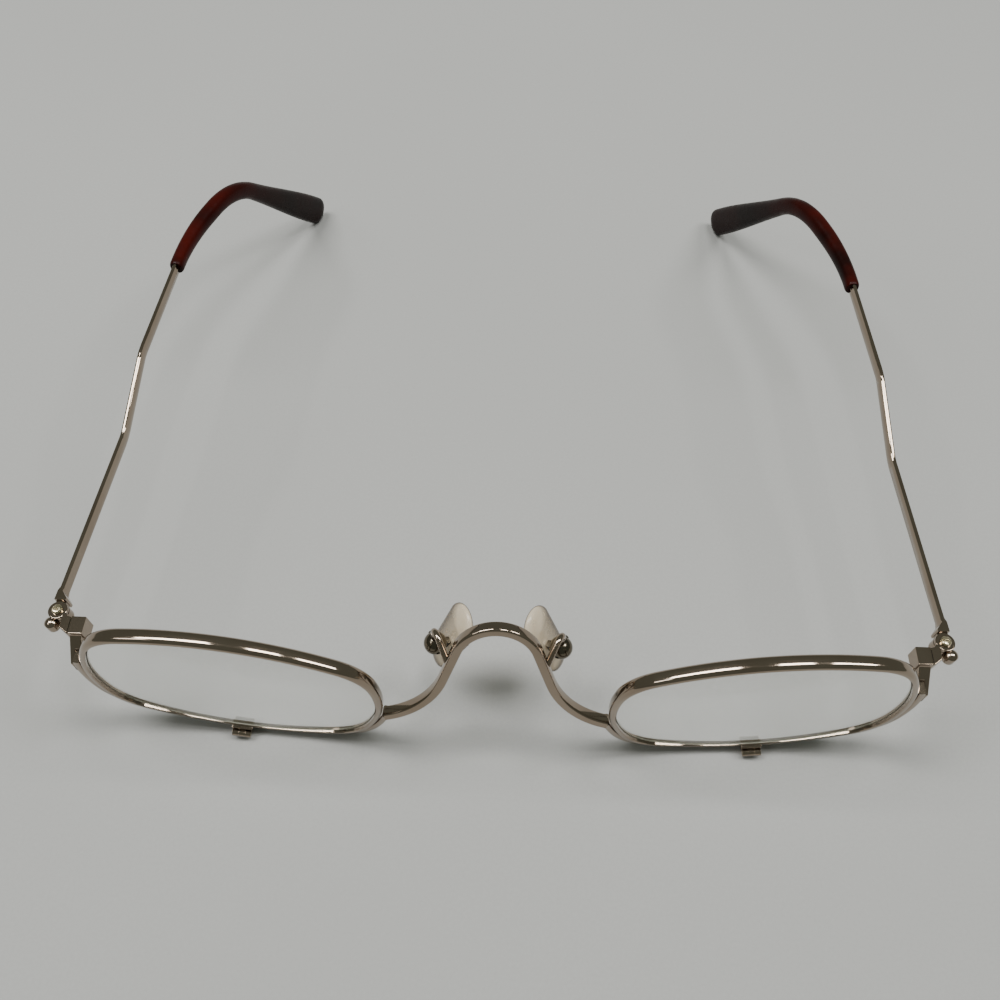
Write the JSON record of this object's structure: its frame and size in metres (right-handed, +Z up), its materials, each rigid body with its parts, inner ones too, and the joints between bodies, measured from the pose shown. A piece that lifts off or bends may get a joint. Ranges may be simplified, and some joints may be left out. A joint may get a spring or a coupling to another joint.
{
  "type": "makeup glasses",
  "caption": "Half-frame metal makeup glasses whose two clear lenses each flip forwards and down on a hinge at the bottom, with a nose arch, nose pads and plastic-tipped folding temples.",
  "frame": {"origin": "centre of the bounding box in plan, on the plane that the lower rims and temple tips stand on", "axes": "+Z up, -Y out of the front of the lenses, temples towards +Y, +X to the right as seen from the front"},
  "size_m": [0.1396, 0.1327, 0.037],
  "materials": {
    "gold_plate": "polished pale gold plating",
    "screw_metal": "polished",
    "clear_lens": "clear, polished",
    "tip_plastic": "glossy dark tortoise red-brown",
    "pad_plastic": "clear, slightly yellowed"
  },
  "bodies": {
    "front": {"bridge": "gold_plate", "left_lower_rim": "gold_plate", "right_lower_rim": "gold_plate", "left_end_piece": "gold_plate", "right_end_piece": "gold_plate", "left_temple_screw": "screw_metal", "right_temple_screw": "screw_metal", "left_flip_base": "gold_plate", "right_flip_base": "gold_plate", "left_flip_pin": "screw_metal", "right_flip_pin": "screw_metal", "left_pad_arm": "gold_plate", "right_pad_arm": "gold_plate", "left_pad_box": "screw_metal", "right_pad_box": "screw_metal", "left_pad_screw": "screw_metal", "right_pad_screw": "screw_metal"},
    "left_lens_unit": {"left_lens_rim": "gold_plate", "left_lens": "clear_lens", "left_flip_leaf": "gold_plate"},
    "left_temple_unit": {"left_temple": "gold_plate", "left_temple_tip": "tip_plastic"},
    "left_pad_unit": {"left_nose_pad": "pad_plastic", "left_pad_stud": "screw_metal"},
    "right_lens_unit": {"right_lens_rim": "gold_plate", "right_lens": "clear_lens", "right_flip_leaf": "gold_plate"},
    "right_temple_unit": {"right_temple": "gold_plate", "right_temple_tip": "tip_plastic"},
    "right_pad_unit": {"right_nose_pad": "pad_plastic", "right_pad_stud": "screw_metal"}
  },
  "joints": [
    {"name": "left_temple_fold", "type": "hinge", "parent": "front", "child": "left_temple_unit", "pos_m": [-0.068, -0.05552, 0.02519], "axis": [0, 0, -1], "range_deg": [0, 80]},
    {"name": "left_lens_flip", "type": "hinge", "parent": "front", "child": "left_lens_unit", "pos_m": [-0.04331, -0.06567, 0.00154], "axis": [0.9877, -0.0552, -0.1461], "range_deg": [0, 165]},
    {"name": "left_pad_rock", "type": "hinge", "parent": "front", "child": "left_pad_unit", "pos_m": [-0.0101, -0.05512, 0.0183], "axis": [-0.342, 0.9397, 0], "range_deg": [-12, 12]},
    {"name": "right_temple_fold", "type": "hinge", "parent": "front", "child": "right_temple_unit", "pos_m": [0.068, -0.05552, 0.02519], "axis": [0, 0, 1], "range_deg": [0, 70]},
    {"name": "right_lens_flip", "type": "hinge", "parent": "front", "child": "right_lens_unit", "pos_m": [0.04331, -0.06567, 0.00154], "axis": [0.9877, 0.0552, 0.1461], "range_deg": [0, 165]},
    {"name": "right_pad_rock", "type": "hinge", "parent": "front", "child": "right_pad_unit", "pos_m": [0.0101, -0.05512, 0.0183], "axis": [0.342, 0.9397, 0], "range_deg": [-12, 12]}
  ]
}
